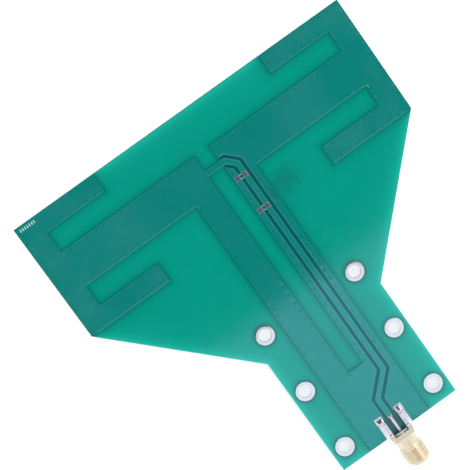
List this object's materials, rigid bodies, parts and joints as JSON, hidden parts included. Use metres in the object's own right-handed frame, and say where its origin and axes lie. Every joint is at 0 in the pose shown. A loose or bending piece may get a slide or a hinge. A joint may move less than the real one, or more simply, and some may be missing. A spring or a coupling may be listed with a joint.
{
  "type": "dipole antenna",
  "caption": "Printed-board dipole antenna with folded arms, a slotted stem with plated mounting holes, and an edge-mounted threaded coaxial jack.",
  "frame": {"origin": "middle of the six mounting holes, on the plane of their back rings, which is what the board seats on", "axes": "+X along the antenna's arms, +Y from the jack towards the arms, +Z out of the board's front face"},
  "size_m": [0.0988, 0.1083, 0.0063],
  "materials": {
    "laminate": "glass-fibre laminate, sawn edges",
    "copper": "rolled copper",
    "front_mask": "glossy blue-green solder mask",
    "back_mask": "glossy blue-green solder mask",
    "tin": "bright hot-dipped tin",
    "legend": "white ink",
    "gold_body": "pale gold plating",
    "insulator": "white fluoropolymer",
    "gold_contact": "gold plating",
    "solder": "bright solder"
  },
  "bodies": {
    "root": {"laminate": "laminate", "front_copper_left": "copper", "front_copper_right": "copper", "back_copper": "copper", "front_solder_mask": "front_mask", "back_solder_mask": "back_mask", "stitching_vias": "copper", "hole_plating_lower_left": "tin", "hole_plating_lower_right": "tin", "hole_plating_middle_left": "tin", "hole_plating_middle_right": "tin", "hole_plating_upper_left": "tin", "hole_plating_upper_right": "tin", "shunt_pad_upper_ground": "tin", "shunt_pad_upper_feed": "tin", "shunt_pad_lower_ground": "tin", "shunt_pad_lower_feed": "tin", "legend": "legend", "connector_body": "gold_body", "connector_insulator": "insulator", "connector_contact": "gold_contact", "centre_pin_solder": "solder", "front_left_leg_solder": "solder", "front_right_leg_solder": "solder", "back_left_leg_solder": "solder", "back_right_leg_solder": "solder"}
  },
  "joints": []
}
